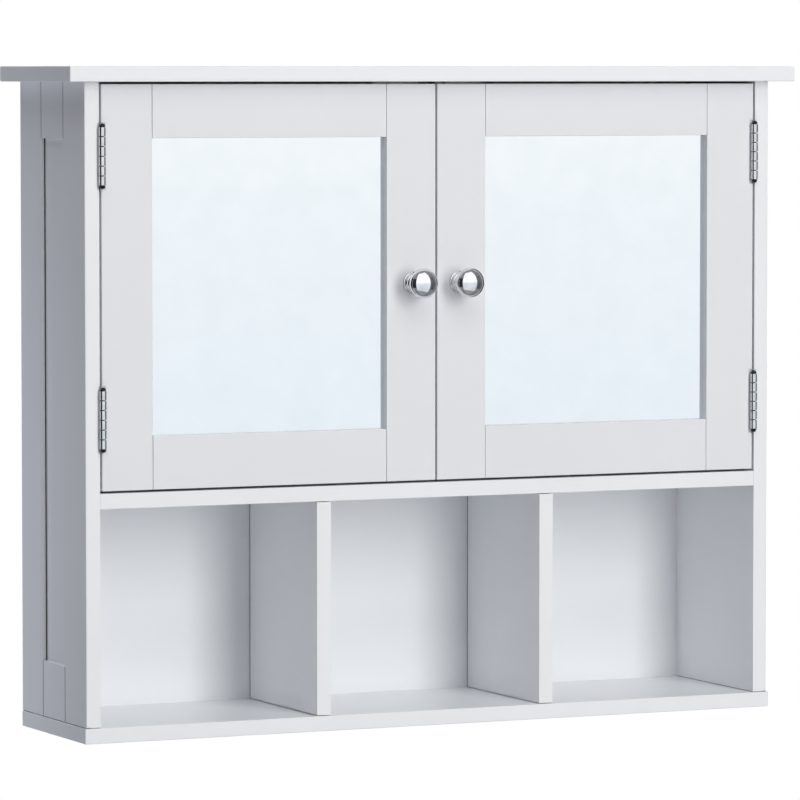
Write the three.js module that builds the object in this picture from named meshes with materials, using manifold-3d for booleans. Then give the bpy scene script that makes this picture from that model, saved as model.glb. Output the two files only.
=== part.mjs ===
// Hanging wall cabinet: a mirrored two-door cupboard over three open cubbies.
// Millimetres. +X is to the right, +Y is towards the wall, +Z is up.
// The origin is the middle of the back face, where the cabinet meets the wall.
import * as THREE from "three";
import { mergeVertices } from "three/addons/utils/BufferGeometryUtils.js";
import Module from "manifold-3d";

const wasm = await Module();
wasm.setup();

// ---- Driving dimensions ----

// Carcass
const CABINET_HEIGHT = 520;
const CARCASS_WIDTH = 595;
const CARCASS_DEPTH = 135;
const BOARD = 12;
const TOP_SIDE_OVERHANG = 17;
const TOP_FRONT_OVERHANG = 13.5;
const BASE_LIP = 1.5;
const CUBBY_HEIGHT = 168.5;
const DIVIDERS = ["divider_left", "divider_right"];

// Sides: a plain board inside, with a frame of thin strips glued on outside
const SIDE_BOARD = 8.5;
const SIDE_STRIP = 3.5;
const SIDE_STILE = 44;
const SIDE_RAIL = 44;

// Back panel and the rail it hangs from
const BACK_THICKNESS = 3;
const BACK_REBATE = 6;
const HANGING_RAIL_HEIGHT = 45;

// Hanger plates, let into the back
const HANGER_SPACING = 400;
const HANGER_WIDTH = 18;
const HANGER_HEIGHT = 38;
const HANGER_THICKNESS = 1.2;
const KEYHOLE_HEAD = 9;
const KEYHOLE_SLOT = 4.5;
const KEYHOLE_TRAVEL = 11;
const SCREW_HEAD_POCKET = 8;
const POCKET_MARGIN = 2;

// Doors
const DOOR_GAP = 1.8;
const DOOR_THICKNESS = 15;
const DOOR_STILE = 42;
const DOOR_RAIL = 41.5;
const MIRROR_RECESS = 6;
const MIRROR_THICKNESS = 3;
const DOOR_REBATE = 8;
const BACKING_THICKNESS = 3;
const DOOR_TENON = 10;
const DOOR_TENON_THICKNESS = 3;

// Hinges
const HINGE_FROM_DOOR_END = 55;
const KNUCKLE_COUNT = 6;
const KNUCKLE_PITCH = 7.5;
const BARREL_RADIUS = 3;
const BARREL_PROUD = 2.5;
const PIN_RADIUS = 1.3;
const PIN_TIP_RADIUS = 2.3;
const PIN_TIP_HEIGHT = 2.6;
const LEAF_THICKNESS = 1.4;
const LEAF_DEPTH = 11;
const HINGE_SCREW_HOLE = 3;

// Knobs
const KNOB_FROM_EDGE = 19.3;
const KNOB_RADIUS = 11.9;
const KNOB_REACH = 19;
const KNOB_DOME = 8.5;
const KNOB_BACK = 5.5;
const KNOB_NECK_RADIUS = 4.6;
const KNOB_BASE_RADIUS = 8.8;
const KNOB_BASE_THICKNESS = 2.6;
const KNOB_BASE_BEVEL = 1;
const KNOB_COVE = 2.2;
const KNOB_SCREW_RADIUS = 2;
const KNOB_SCREW_BITE = 10;
const SCREW_HEAD_RADIUS = 4.2;
const SCREW_HEAD_HEIGHT = 2.2;
const SCREW_CROWN = 0.7;

// Loose shelf and its pins
const SHELF_SETBACK = 20;
const PIN_HOLE_PITCH = 32;
const PIN_HOLE_COUNT = 3;
const PIN_INSET = 30;
const SHELF_PIN_RADIUS = 2.5;
const SHELF_PIN_BITE = 8;
const SHELF_PIN_REACH = 8;
const SHELF_PIN_COLLAR_RADIUS = 4;
const SHELF_PIN_COLLAR_THICKNESS = 1.5;

// Magnetic catches
const CATCH_WIDTH = 40;
const CATCH_DEPTH = 14;
const CATCH_HEIGHT = 12;
const CATCH_FROM_EDGE = 6;
const STRIKE_THICKNESS = 1;
const STRIKE_WIDTH = 32;
const STRIKE_HEIGHT = 10;

// Clearances
const PANEL_PLAY = 0.5;
const TENON_PLAY = 0.3;
const GLASS_PLAY = 1;
const SHELF_PLAY = 2;
const BARREL_PLAY = 0.4;
const KNUCKLE_PLAY = 0.3;
const PIN_PLAY = 0.06;
const ROUND_PLAY = 0.3;
const LET_IN_PLAY = 0.3;
const MAGNET_PLAY = 0.3;

// Facets around a circle and steps along a curve
const FINE = 20;
const COARSE = 12;
const KNOB_STEPS = 9;
const TIP_STEPS = 3;

// How far a cutting solid runs past the face it cuts
const PAST = 1;

// ---- Levels and planes that follow from them ----

const BOTTOM = -CABINET_HEIGHT / 2;
const FLOOR = BOTTOM + BOARD;
const SHELF_UNDERSIDE = FLOOR + CUBBY_HEIGHT;
const CUPBOARD_FLOOR = SHELF_UNDERSIDE + BOARD;
const CEILING = CABINET_HEIGHT / 2 - BOARD;
const OUTER_X = CARCASS_WIDTH / 2;
const SIDE_BOARD_X = OUTER_X - SIDE_STRIP;
const INNER_X = SIDE_BOARD_X - SIDE_BOARD;
const FRONT_Y = -CARCASS_DEPTH;
const BACK_Y = -BACK_THICKNESS;

const DOOR_HEIGHT = CEILING - CUPBOARD_FLOOR - 2 * DOOR_GAP;
const DOOR_BASE = CUPBOARD_FLOOR + DOOR_GAP;
const DOOR_TOP = DOOR_BASE + DOOR_HEIGHT;
const DOOR_MID = (DOOR_BASE + DOOR_TOP) / 2;
const DOOR_OUTER_X = INNER_X - DOOR_GAP;
const DOOR_INNER_X = DOOR_GAP / 2;
const DOOR_REAR_Y = FRONT_Y + DOOR_THICKNESS;

// The leaves of a hinge lie face to face in the gap, and its axis is on the plane between them.
const HINGE_X = DOOR_OUTER_X + (DOOR_GAP - LEAF_THICKNESS) / 4;
const HINGE_Y = FRONT_Y - BARREL_PROUD;
const HINGE_LENGTH = KNUCKLE_COUNT * KNUCKLE_PITCH;
const HINGE_LEVELS = [DOOR_TOP - HINGE_FROM_DOOR_END, DOOR_BASE + HINGE_FROM_DOOR_END];
const LEAF_FRONT_Y = HINGE_Y + BARREL_RADIUS + BARREL_PLAY;

const KNOB_X = DOOR_INNER_X + KNOB_FROM_EDGE;
const HANGER_Z = CEILING - HANGING_RAIL_HEIGHT / 2;

// ---- Materials ----

const material = (colour, roughness, metalness) =>
  new THREE.MeshStandardMaterial({ color: colour, roughness, metalness });
const WHITE_PAINT = [0xe8e9ee, 0.45, 0];
const MIRROR_GLASS = [0xdfe6ec, 0.02, 1];
const BARE_BOARD = [0xb99c78, 0.8, 0];
const CHROME = [0xd8dadd, 0.08, 1];
const ZINC_STEEL = [0xb4b8bc, 0.35, 1];
const WHITE_PLASTIC = [0xe4e4e2, 0.5, 0];

// ---- Solids ----

const cabinet = new THREE.Group();

// Turns a closed geometry into a solid that can be cut and joined.
function solid(geometry) {
  const bare = geometry.index ? geometry.toNonIndexed() : geometry.clone();
  bare.deleteAttribute("normal");
  bare.deleteAttribute("uv");
  const merged = mergeVertices(bare, 1e-4);
  const mesh = new wasm.Mesh({
    numProp: 3,
    vertProperties: merged.attributes.position.array,
    triVerts: new Uint32Array(merged.index.array),
  });
  return new wasm.Manifold(mesh);
}

// A rectangular block between two corners.
function block([x0, x1], [y0, y1], [z0, z1]) {
  const box = new THREE.BoxGeometry(Math.abs(x1 - x0), y1 - y0, z1 - z0);
  box.translate((x0 + x1) / 2, (y0 + y1) / 2, (z0 + z1) / 2);
  return solid(box);
}

// A turned solid from a profile of [radius, height] points, standing at a place along an axis.
function turned(profile, facets, place, axis) {
  const points = profile.map(([radius, height]) => new THREE.Vector2(radius, height));
  const lathe = new THREE.LatheGeometry(points, facets);
  const upright = new THREE.Vector3(0, 1, 0);
  const turn = new THREE.Quaternion().setFromUnitVectors(upright, new THREE.Vector3(...axis));
  lathe.applyQuaternion(turn);
  lathe.translate(...place);
  return solid(lathe);
}

// A plain rod of one radius.
const rod = (radius, length, facets, place, axis) =>
  turned([[0, 0], [radius, 0], [radius, length], [0, length]], facets, place, axis);

// Radius of a faceted hole whose flats clear a shaft of the given radius.
const holeRadius = (shaft, facets, play) => (shaft + play) / Math.cos(Math.PI / facets);

// Puts a finished solid into the cabinet as a named sub-part.
function place(name, body, finish) {
  const mesh = body.getMesh();
  const corners = new Float32Array(mesh.numVert * 3);
  for (let i = 0; i < mesh.numVert; i += 1) {
    const start = i * mesh.numProp;
    corners.set(mesh.vertProperties.subarray(start, start + 3), i * 3);
  }
  const geometry = new THREE.BufferGeometry();
  geometry.setAttribute("position", new THREE.BufferAttribute(corners, 3));
  geometry.setIndex(new THREE.BufferAttribute(mesh.triVerts, 1));
  geometry.computeVertexNormals();
  const part = new THREE.Mesh(geometry, material(...finish));
  part.name = name;
  cabinet.add(part);
}

// The span of a width on the left (-1) or right (+1) half of the cabinet.
const span = (side, near, far) => (side < 0 ? [-far, -near] : [near, far]);

const SIDES = [["left", -1], ["right", 1]];

// ---- Horizontal boards ----

function topPanel() {
  const half = OUTER_X + TOP_SIDE_OVERHANG;
  return block([-half, half], [FRONT_Y - TOP_FRONT_OVERHANG, 0], [CEILING, CEILING + BOARD]);
}

// The back panel covers the rear edge of the bottom panel.
function bottomPanel() {
  const half = OUTER_X + BASE_LIP;
  return block([-half, half], [FRONT_Y - BASE_LIP, BACK_Y], [BOTTOM, FLOOR]);
}

function fixedShelf() {
  return block([-INNER_X, INNER_X], [FRONT_Y, BACK_Y], [SHELF_UNDERSIDE, CUPBOARD_FLOOR]);
}

place("top_panel", topPanel(), WHITE_PAINT);
place("bottom_panel", bottomPanel(), WHITE_PAINT);
place("fixed_shelf", fixedShelf(), WHITE_PAINT);

// ---- Cubby dividers ----

// The dividers share the width out into equal cubbies.
const CUBBY_WIDTH = (2 * INNER_X - DIVIDERS.length * BOARD) / (DIVIDERS.length + 1);
DIVIDERS.forEach((name, i) => {
  const x = -INNER_X + (i + 1) * CUBBY_WIDTH + i * BOARD;
  place(name, block([x, x + BOARD], [FRONT_Y, BACK_Y], [FLOOR, SHELF_UNDERSIDE]), WHITE_PAINT);
});

// ---- Sides ----

const PIN_ROWS = [["front", FRONT_Y + PIN_INSET], ["rear", -PIN_INSET]];
const LOOSE_SHELF_UNDERSIDE = DOOR_MID - BOARD / 2;
const SHELF_PIN_Z = LOOSE_SHELF_UNDERSIDE - SHELF_PIN_RADIUS - ROUND_PLAY;

// Rows of holes for the shelf pins: the middle one of each row holds the pin.
function pinHoles(side) {
  const radius = holeRadius(SHELF_PIN_RADIUS, COARSE, ROUND_PLAY / 2);
  const depth = SHELF_PIN_BITE + PAST + ROUND_PLAY;
  const holes = [];
  for (const [, y] of PIN_ROWS) {
    for (let i = 0; i < PIN_HOLE_COUNT; i += 1) {
      const z = SHELF_PIN_Z + (i - (PIN_HOLE_COUNT - 1) / 2) * PIN_HOLE_PITCH;
      holes.push(rod(radius, depth, COARSE, [side * (INNER_X - PAST), y, z], [side, 0, 0]));
    }
  }
  return holes;
}

// Room at a front edge for the barrel of each hinge.
function barrelNotches(side, near, far) {
  const half = HINGE_LENGTH / 2 + PIN_TIP_HEIGHT + BARREL_PLAY;
  return HINGE_LEVELS.map((z) =>
    block(span(side, near, far), [FRONT_Y - PAST, LEAF_FRONT_Y], [z - half, z + half]),
  );
}

// The board is drilled for the pins, cut for the barrels and rebated for the back panel.
function sideBoard(side) {
  const board = block(span(side, INNER_X, SIDE_BOARD_X), [FRONT_Y, 0], [FLOOR, CEILING]);
  const reach = HINGE_X + BARREL_RADIUS + BARREL_PLAY;
  const across = span(side, INNER_X - PAST, INNER_X + BACK_REBATE);
  const rebate = block(across, [BACK_Y, PAST], [FLOOR - PAST, CEILING + PAST]);
  const cuts = [rebate, ...pinHoles(side), ...barrelNotches(side, INNER_X - PAST, reach)];
  return cuts.reduce((left, cut) => left.subtract(cut), board);
}

// The strips of the frame on the outer face: two stiles of full height and two rails between them.
const STRIP_RAIL_Y = [FRONT_Y + SIDE_STILE, -SIDE_STILE];
const SIDE_STRIPS = [
  ["front_stile", [FRONT_Y, STRIP_RAIL_Y[0]], [FLOOR, CEILING]],
  ["rear_stile", [STRIP_RAIL_Y[1], 0], [FLOOR, CEILING]],
  ["top_rail", STRIP_RAIL_Y, [CEILING - SIDE_RAIL, CEILING]],
  ["bottom_rail", STRIP_RAIL_Y, [FLOOR, FLOOR + SIDE_RAIL]],
];

for (const [word, side] of SIDES) {
  place(`side_${word}_board`, sideBoard(side), WHITE_PAINT);
  for (const [which, depth, height] of SIDE_STRIPS) {
    const strip = block(span(side, SIDE_BOARD_X, OUTER_X), depth, height);
    place(`side_${word}_${which}`, strip, WHITE_PAINT);
  }
}

// ---- Back panel, hanging rail and hanger plates ----

const HANGER_PLACES = SIDES.map(([word, side]) => [word, (side * HANGER_SPACING) / 2]);

// The pocket that the head of the wall screw slides in, behind the keyhole.
function screwPocket(x) {
  const half = KEYHOLE_HEAD / 2 + POCKET_MARGIN;
  const low = HANGER_Z - KEYHOLE_TRAVEL / 2 - half;
  const high = HANGER_Z + KEYHOLE_TRAVEL / 2 + half;
  return block([x - half, x + half], [-SCREW_HEAD_POCKET, PAST], [low, high]);
}

function backPanel() {
  const half = INNER_X + BACK_REBATE - PANEL_PLAY;
  let panel = block([-half, half], [BACK_Y, 0], [BOTTOM, CEILING]);
  for (const [, x] of HANGER_PLACES) {
    const halfWidth = HANGER_WIDTH / 2 + LET_IN_PLAY;
    const halfHeight = HANGER_HEIGHT / 2 + LET_IN_PLAY;
    const seat = block(
      [x - halfWidth, x + halfWidth],
      [-HANGER_THICKNESS, PAST],
      [HANGER_Z - halfHeight, HANGER_Z + halfHeight],
    );
    panel = panel.subtract(seat).subtract(screwPocket(x));
  }
  return panel;
}

function hangingRail() {
  const height = [CEILING - HANGING_RAIL_HEIGHT, CEILING];
  let rail = block([-INNER_X, INNER_X], [BACK_Y - BOARD, BACK_Y], height);
  for (const [, x] of HANGER_PLACES) {
    rail = rail.subtract(screwPocket(x));
  }
  return rail;
}

// A plate with a round hole for the screw head and a slot above it for the shank.
function hangerPlate(x) {
  const outline = new THREE.Shape();
  const halfWidth = HANGER_WIDTH / 2;
  const halfHeight = HANGER_HEIGHT / 2;
  outline.moveTo(-halfWidth, -halfHeight);
  outline.lineTo(halfWidth, -halfHeight);
  outline.lineTo(halfWidth, halfHeight);
  outline.lineTo(-halfWidth, halfHeight);
  outline.closePath();
  const hole = new THREE.Path();
  const head = KEYHOLE_HEAD / 2;
  const slot = KEYHOLE_SLOT / 2;
  const meet = Math.acos(slot / head);
  const low = -KEYHOLE_TRAVEL / 2;
  const high = KEYHOLE_TRAVEL / 2;
  hole.absarc(0, low, head, Math.PI - meet, 2 * Math.PI + meet, false);
  hole.absarc(0, high, slot, 0, Math.PI, false);
  hole.closePath();
  outline.holes.push(hole);
  const plate = new THREE.ExtrudeGeometry(outline, {
    depth: HANGER_THICKNESS,
    bevelEnabled: false,
    curveSegments: COARSE,
  });
  plate.rotateX(Math.PI / 2);
  plate.translate(x, 0, HANGER_Z);
  return solid(plate);
}

place("back_panel", backPanel(), WHITE_PAINT);
place("hanging_rail", hangingRail(), WHITE_PAINT);
for (const [word, x] of HANGER_PLACES) {
  place(`hanger_plate_${word}`, hangerPlate(x), ZINC_STEEL);
}

// ---- Loose shelf on four pins ----

function looseShelf() {
  const half = INNER_X - SHELF_PLAY;
  const depth = [FRONT_Y + SHELF_SETBACK, BACK_Y - SHELF_PLAY];
  return block([-half, half], depth, [LOOSE_SHELF_UNDERSIDE, LOOSE_SHELF_UNDERSIDE + BOARD]);
}

function shelfPin(side, y) {
  const collar = SHELF_PIN_BITE + SHELF_PIN_COLLAR_THICKNESS;
  const profile = [
    [0, 0],
    [SHELF_PIN_RADIUS, 0],
    [SHELF_PIN_RADIUS, SHELF_PIN_BITE],
    [SHELF_PIN_COLLAR_RADIUS, SHELF_PIN_BITE],
    [SHELF_PIN_COLLAR_RADIUS, collar],
    [SHELF_PIN_RADIUS, collar],
    [SHELF_PIN_RADIUS, collar + SHELF_PIN_REACH],
    [0, collar + SHELF_PIN_REACH],
  ];
  return turned(profile, COARSE, [side * (INNER_X + SHELF_PIN_BITE), y, SHELF_PIN_Z], [-side, 0, 0]);
}

place("loose_shelf", looseShelf(), WHITE_PAINT);
for (const [word, side] of SIDES) {
  for (const [row, y] of PIN_ROWS) {
    place(`shelf_pin_${word}_${row}`, shelfPin(side, y), ZINC_STEEL);
  }
}

// ---- Magnetic catches under the top panel ----

function catchBody(side) {
  const near = DOOR_INNER_X + CATCH_FROM_EDGE;
  const front = DOOR_REAR_Y + STRIKE_THICKNESS + MAGNET_PLAY;
  const depth = [front, front + CATCH_DEPTH];
  return block(span(side, near, near + CATCH_WIDTH), depth, [CEILING - CATCH_HEIGHT, CEILING]);
}

function strikePlate(side) {
  const middle = DOOR_INNER_X + CATCH_FROM_EDGE + CATCH_WIDTH / 2;
  const across = span(side, middle - STRIKE_WIDTH / 2, middle + STRIKE_WIDTH / 2);
  const top = DOOR_TOP - (CATCH_HEIGHT - STRIKE_HEIGHT) / 2;
  return block(across, [DOOR_REAR_Y, DOOR_REAR_Y + STRIKE_THICKNESS], [top - STRIKE_HEIGHT, top]);
}

for (const [word, side] of SIDES) {
  place(`catch_${word}`, catchBody(side), WHITE_PLASTIC);
}

// ---- Hinges ----

// Knuckles are counted from the bottom: even ones belong to the frame leaf, odd ones to the door leaf.
function hingeLeaf(side, level, first, leafSpan) {
  const base = level - HINGE_LENGTH / 2;
  const plate = [LEAF_FRONT_Y, LEAF_FRONT_Y + LEAF_DEPTH];
  let leaf = block(span(side, ...leafSpan), plate, [base, base + HINGE_LENGTH]);
  for (let i = first; i < KNUCKLE_COUNT; i += 2) {
    const z0 = base + i * KNUCKLE_PITCH + KNUCKLE_PLAY / 2;
    const length = KNUCKLE_PITCH - KNUCKLE_PLAY;
    const tab = block(span(side, ...leafSpan), [HINGE_Y, LEAF_FRONT_Y], [z0, z0 + length]);
    leaf = leaf.add(tab).add(rod(BARREL_RADIUS, length, FINE, [side * HINGE_X, HINGE_Y, z0], [0, 0, 1]));
  }
  const bore = holeRadius(PIN_RADIUS, COARSE, PIN_PLAY);
  const boreStart = [side * HINGE_X, HINGE_Y, base - PAST];
  leaf = leaf.subtract(rod(bore, HINGE_LENGTH + 2 * PAST, COARSE, boreStart, [0, 0, 1]));
  for (const z of [level - HINGE_LENGTH / 4, level + HINGE_LENGTH / 4]) {
    const start = [side * (leafSpan[0] - PAST), LEAF_FRONT_Y + LEAF_DEPTH / 2, z];
    const length = LEAF_THICKNESS + 2 * PAST;
    leaf = leaf.subtract(rod(HINGE_SCREW_HOLE / 2, length, COARSE, start, [side, 0, 0]));
  }
  return leaf;
}

const FRAME_LEAF_SPAN = [INNER_X - LEAF_THICKNESS, INNER_X];
const DOOR_LEAF_SPAN = [DOOR_OUTER_X - LEAF_THICKNESS, DOOR_OUTER_X];

// The pin runs through all the knuckles and ends in a round tip above and below.
function hingePin(side, level) {
  const half = HINGE_LENGTH / 2;
  const tip = [];
  for (let i = 0; i < TIP_STEPS; i += 1) {
    const angle = (i / TIP_STEPS) * (Math.PI / 2);
    tip.push([PIN_TIP_RADIUS * Math.cos(angle), half + PIN_TIP_HEIGHT * Math.sin(angle)]);
  }
  tip.push([0, half + PIN_TIP_HEIGHT]);
  const upper = [[PIN_RADIUS, half], ...tip];
  const lower = upper.map(([radius, height]) => [radius, -height]).reverse();
  return turned([...lower, ...upper], COARSE, [side * HINGE_X, HINGE_Y, level], [0, 0, 1]);
}

const LEVEL_NAMES = ["upper", "lower"];
for (const [word, side] of SIDES) {
  HINGE_LEVELS.forEach((level, i) => {
    const name = `hinge_${word}_${LEVEL_NAMES[i]}`;
    place(`${name}_frame_leaf`, hingeLeaf(side, level, 0, FRAME_LEAF_SPAN), CHROME);
    place(`${name}_door_leaf`, hingeLeaf(side, level, 1, DOOR_LEAF_SPAN), CHROME);
    place(`${name}_pin`, hingePin(side, level), CHROME);
  });
}

// ---- Doors ----

// A span that runs on by the same length at both ends.
const grown = ([low, high], by) => [low - by, high + by];

const OPENING_X = [DOOR_INNER_X + DOOR_STILE, DOOR_OUTER_X - DOOR_STILE];
const OPENING_Z = [DOOR_BASE + DOOR_RAIL, DOOR_TOP - DOOR_RAIL];
const REBATE_Y = FRONT_Y + MIRROR_RECESS;

// The rebate behind the opening that the glass and its backing board drop into.
function doorRebate(side) {
  const across = grown(span(side, ...OPENING_X), DOOR_REBATE);
  return block(across, [REBATE_Y, DOOR_REAR_Y + PAST], grown(OPENING_Z, DOOR_REBATE));
}

// Rails end in stub tenons, in the thickness of the lip in front of the glass.
const DOOR_TENON_Y = [
  FRONT_Y + (MIRROR_RECESS - DOOR_TENON_THICKNESS) / 2,
  FRONT_Y + (MIRROR_RECESS + DOOR_TENON_THICKNESS) / 2,
];

function doorTenons(side, height, play) {
  return block(grown(span(side, ...OPENING_X), DOOR_TENON + play), grown(DOOR_TENON_Y, play), height);
}

const DOOR_RAILS = [
  ["top", [DOOR_TOP - DOOR_RAIL, DOOR_TOP]],
  ["bottom", [DOOR_BASE, DOOR_BASE + DOOR_RAIL]],
];

function doorRail(side, height) {
  const core = block(span(side, ...OPENING_X), [FRONT_Y, DOOR_REAR_Y], height);
  return core.add(doorTenons(side, height, 0)).subtract(doorRebate(side));
}

function doorStile(side, across) {
  let stile = block(span(side, ...across), [FRONT_Y, DOOR_REAR_Y], [DOOR_BASE, DOOR_TOP]);
  stile = stile.subtract(doorRebate(side));
  for (const [, height] of DOOR_RAILS) {
    stile = stile.subtract(doorTenons(side, height, TENON_PLAY));
  }
  return stile;
}

// The hinge stile is cut for the barrels and mortised for the door leaves.
function hingeStile(side) {
  let stile = doorStile(side, [OPENING_X[1], DOOR_OUTER_X]);
  const reach = HINGE_X - BARREL_RADIUS - BARREL_PLAY;
  for (const notch of barrelNotches(side, reach, DOOR_OUTER_X + PAST)) {
    stile = stile.subtract(notch);
  }
  for (const level of HINGE_LEVELS) {
    const half = HINGE_LENGTH / 2;
    const across = span(side, DOOR_LEAF_SPAN[0], DOOR_OUTER_X + PAST);
    const depth = [LEAF_FRONT_Y - PAST, LEAF_FRONT_Y + LEAF_DEPTH];
    stile = stile.subtract(block(across, depth, [level - half, level + half]));
  }
  return stile;
}

function meetingStile(side) {
  const stile = doorStile(side, [DOOR_INNER_X, OPENING_X[0]]);
  const radius = holeRadius(KNOB_SCREW_RADIUS, COARSE, ROUND_PLAY);
  const start = [side * KNOB_X, FRONT_Y - PAST, DOOR_MID];
  return stile.subtract(rod(radius, DOOR_THICKNESS + 2 * PAST, COARSE, start, [0, 1, 0]));
}

// A sheet that lies in the door's rebate, starting at a given depth.
function rebateSheet(side, y, thickness) {
  const by = DOOR_REBATE - GLASS_PLAY;
  return block(grown(span(side, ...OPENING_X), by), [y, y + thickness], grown(OPENING_Z, by));
}

// ---- Knobs ----

// A flange against the door, a waisted neck and a domed head, tapped for the screw from behind.
function knob(side) {
  const profile = [[0, 0], [KNOB_BASE_RADIUS, 0], [KNOB_BASE_RADIUS, KNOB_BASE_THICKNESS / 2]];
  profile.push([KNOB_BASE_RADIUS - KNOB_BASE_BEVEL, KNOB_BASE_THICKNESS]);
  profile.push([KNOB_NECK_RADIUS, KNOB_BASE_THICKNESS + KNOB_COVE]);
  const neckAngle = Math.asin(KNOB_NECK_RADIUS / KNOB_RADIUS);
  for (let i = 0; i <= KNOB_STEPS; i += 1) {
    const angle = neckAngle + (i / KNOB_STEPS) * (Math.PI - neckAngle);
    const depth = Math.cos(angle);
    const radius = i < KNOB_STEPS ? KNOB_RADIUS * Math.sin(angle) : 0;
    profile.push([radius, KNOB_REACH - depth * (depth > 0 ? KNOB_BACK : KNOB_DOME)]);
  }
  const body = turned(profile, FINE, [side * KNOB_X, FRONT_Y, DOOR_MID], [0, -1, 0]);
  const hole = holeRadius(KNOB_SCREW_RADIUS, COARSE, ROUND_PLAY / 2);
  const start = [side * KNOB_X, FRONT_Y + PAST, DOOR_MID];
  return body.subtract(rod(hole, KNOB_SCREW_BITE + PAST + ROUND_PLAY, COARSE, start, [0, -1, 0]));
}

// A pan-head screw from the inside of the door.
function knobScrew(side) {
  const head = SCREW_HEAD_HEIGHT;
  const length = head + DOOR_THICKNESS + KNOB_SCREW_BITE;
  const profile = [
    [0, 0],
    [SCREW_HEAD_RADIUS * SCREW_CROWN, 0],
    [SCREW_HEAD_RADIUS, head / 2],
    [SCREW_HEAD_RADIUS, head],
    [KNOB_SCREW_RADIUS, head],
    [KNOB_SCREW_RADIUS, length],
    [0, length],
  ];
  return turned(profile, COARSE, [side * KNOB_X, DOOR_REAR_Y + head, DOOR_MID], [0, -1, 0]);
}

for (const [word, side] of SIDES) {
  place(`door_${word}_hinge_stile`, hingeStile(side), WHITE_PAINT);
  place(`door_${word}_meeting_stile`, meetingStile(side), WHITE_PAINT);
  for (const [which, height] of DOOR_RAILS) {
    place(`door_${word}_${which}_rail`, doorRail(side, height), WHITE_PAINT);
  }
  place(`door_${word}_mirror`, rebateSheet(side, REBATE_Y, MIRROR_THICKNESS), MIRROR_GLASS);
  const backing = rebateSheet(side, REBATE_Y + MIRROR_THICKNESS, BACKING_THICKNESS);
  place(`door_${word}_backing`, backing, BARE_BOARD);
  place(`knob_${word}`, knob(side), CHROME);
  place(`knob_screw_${word}`, knobScrew(side), ZINC_STEEL);
  place(`strike_plate_${word}`, strikePlate(side), ZINC_STEEL);
}

export default cabinet;
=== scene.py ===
import math

import bmesh
import bpy
import numpy as np
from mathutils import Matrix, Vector


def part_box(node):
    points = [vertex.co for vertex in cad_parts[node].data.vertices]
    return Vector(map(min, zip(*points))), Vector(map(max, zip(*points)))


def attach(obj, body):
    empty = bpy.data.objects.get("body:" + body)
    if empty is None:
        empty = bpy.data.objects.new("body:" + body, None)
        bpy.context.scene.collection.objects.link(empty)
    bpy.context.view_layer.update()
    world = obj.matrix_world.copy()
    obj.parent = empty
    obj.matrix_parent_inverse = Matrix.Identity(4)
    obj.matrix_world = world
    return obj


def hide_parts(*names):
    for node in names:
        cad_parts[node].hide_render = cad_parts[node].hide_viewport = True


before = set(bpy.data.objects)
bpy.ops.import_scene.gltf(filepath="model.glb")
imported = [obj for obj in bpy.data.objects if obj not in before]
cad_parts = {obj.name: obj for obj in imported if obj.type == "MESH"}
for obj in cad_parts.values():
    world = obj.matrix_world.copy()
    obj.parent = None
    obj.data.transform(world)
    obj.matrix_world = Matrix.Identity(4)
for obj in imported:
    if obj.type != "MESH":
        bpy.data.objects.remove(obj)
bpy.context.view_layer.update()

# ---- Top, bottom and fixed shelf ----
# The three long boards of the carcass. Each is cut from 12 mm fibreboard, its
# arrises are sanded round, and it is sprayed with satin white lacquer.
MM = 0.001
FLOOR_TOP = -248.0
BACK_FRONT = -3.0
TOP_EASING = 0.9
SHELF_EASING = 0.5
JOINT_EASING = 0.3
WIDEST_EASING = 1.0
EASING_STEPS = 3
SHARP_ANGLE = math.radians(35)
LACQUER_LIGHT = "#F7F9FC"
LACQUER_SHADE = "#F5F7FA"
PEEL_MM = 1.3
CLOUD_MM = 90
DUST_MM = 0.35
NOISE_LOW = 0.3
NOISE_HIGH = 0.7


def linear(colour):
    """Linear RGBA of an sRGB hex colour: a straight foot, then a power of 2.4."""
    srgb = np.array([int(colour[i : i + 2], 16) for i in (1, 3, 5)]) / 255
    curve = ((srgb + 0.055) / 1.055) ** 2.4
    return (*np.where(srgb <= 0.04045, srgb / 12.92, curve).tolist(), 1.0)


def put(tree, kind, inputs=None, stops=(), **settings):
    """Adds a node. Inputs gives each socket a value or the socket it is fed from, and
    stops gives a colour ramp its places and linear colours."""
    made = tree.nodes.new("ShaderNode" + kind)
    for name, value in settings.items():
        setattr(made, name, value)
    for socket, value in (inputs or {}).items():
        if isinstance(value, bpy.types.NodeSocket):
            tree.links.new(value, made.inputs[socket])
        else:
            made.inputs[socket].default_value = value
    while stops and len(made.color_ramp.elements) < len(stops):
        made.color_ramp.elements.new(1.0)
    for number, (at, colour) in enumerate(stops):
        made.color_ramp.elements[number].position = at
        made.color_ramp.elements[number].color = colour
    return made


def new_finish(name):
    """An empty material, with its node tree and the object's own coordinates."""
    finish = bpy.data.materials.new(name)
    finish.use_nodes = True
    finish.node_tree.nodes.clear()
    place = put(finish.node_tree, "TexCoord").outputs["Object"]
    return finish, finish.node_tree, place


def lumps(place, grain_mm, detail):
    """Inputs of a noise whose lumps are grain_mm across."""
    return {"Vector": place, "Scale": 1 / (grain_mm * MM), "Detail": detail}


def tones(shade, light):
    """Stops that take a noise's middle range from the shade to the light colour."""
    return ((NOISE_LOW, linear(shade)), (NOISE_HIGH, linear(light)))


def spread(value, low, high):
    """Inputs that take a noise's middle range from a low to a high number."""
    limits = {"From Min": NOISE_LOW, "From Max": NOISE_HIGH, "To Min": low, "To Max": high}
    return {"Value": value, **limits}


def relief(height, depth_mm, strength):
    """Inputs that raise the surface by a height from 0 to 1, depth_mm deep."""
    return {"Height": height, "Distance": depth_mm * MM, "Strength": strength}


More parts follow.
